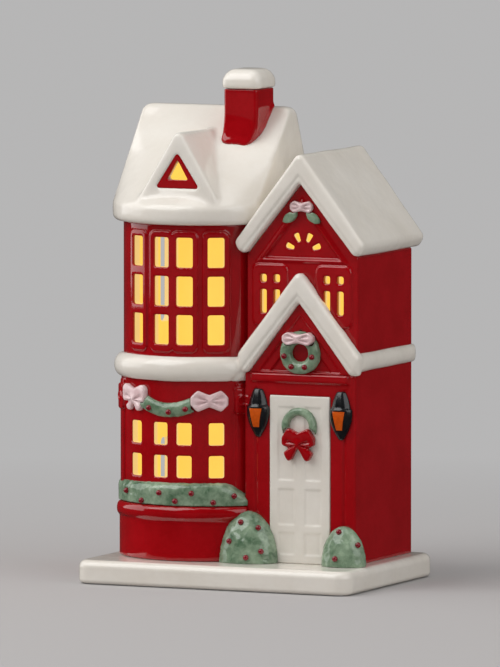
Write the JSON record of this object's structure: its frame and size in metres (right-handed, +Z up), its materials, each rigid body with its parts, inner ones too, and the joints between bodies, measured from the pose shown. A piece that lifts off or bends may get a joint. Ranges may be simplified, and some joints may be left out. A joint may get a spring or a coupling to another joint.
{
  "type": "lit ceramic village house",
  "caption": "Glazed ceramic toy house with a bowed shop-window front, gabled wing, snow-covered roofs and cut-out panes, lit from a battery lamp in its base.",
  "frame": {"origin": "middle of the base slab's underside, on the surface that the house stands on", "axes": "+Z up, +X to the right along the front as seen by a viewer, +Y to the back"},
  "size_m": [0.14, 0.102, 0.24],
  "materials": {
    "snow_glaze": "glossy cream white glaze",
    "red_glaze": "deep red gloss glaze",
    "green_glaze": "mottled green gloss glaze",
    "pink_glaze": "pale pink gloss glaze",
    "berry_glaze": "dark red gloss glaze",
    "black_glaze": "black gloss glaze",
    "amber_glaze": "orange gloss glaze",
    "case_plastic": "moulded off-white plastic",
    "cell_wrap": "printed cell sleeve without words",
    "bright_steel": "plated steel",
    "circuit_board": "green board lacquer",
    "led_lens": "clear warm lamp lens"
  },
  "bodies": {
    "house": {"base_slab": "snow_glaze", "main_roof": "snow_glaze", "dormer": "snow_glaze", "wing_roof": "snow_glaze", "chimney_cap": "snow_glaze", "porch_snow": "snow_glaze", "bow_ledge": "snow_glaze", "side_ledge": "snow_glaze", "door": "snow_glaze", "lower_walls": "red_glaze", "upper_walls": "red_glaze", "dormer_frame": "red_glaze", "chimney": "red_glaze", "porch_panel": "red_glaze", "planter_trough": "red_glaze", "door_ribbon": "red_glaze", "planter_greenery": "green_glaze", "left_bush": "green_glaze", "right_bush": "green_glaze", "garland": "green_glaze", "porch_wreath": "green_glaze", "door_wreath": "green_glaze", "gable_leaves": "green_glaze", "garland_ribbons": "pink_glaze", "porch_ribbon": "pink_glaze", "gable_ribbon": "pink_glaze", "berries": "berry_glaze", "lanterns": "black_glaze", "lantern_glass": "amber_glaze", "battery_case": "case_plastic", "battery_cells": "cell_wrap", "battery_contacts": "bright_steel", "led_board": "circuit_board", "leds": "led_lens"},
    "battery_lid": {"battery_lid": "case_plastic"},
    "lid_screw": {"lid_screw": "bright_steel"},
    "switch": {"switch_knob": "case_plastic"}
  },
  "joints": [
    {"name": "lid_hinge", "type": "hinge", "parent": "house", "child": "battery_lid", "pos_m": [-0.02955, 0.007, 0.003], "axis": [0, 1, 0], "range_deg": [0, 100]},
    {"name": "screw_turn", "type": "hinge", "parent": "battery_lid", "child": "lid_screw", "pos_m": [0.02265, 0.007, 0.003], "axis": [0, 0, 1], "continuous": true},
    {"name": "switch_slide", "type": "slide", "parent": "house", "child": "switch", "axis": [1, 0, 0], "range_m": [0, 0.003]}
  ]
}
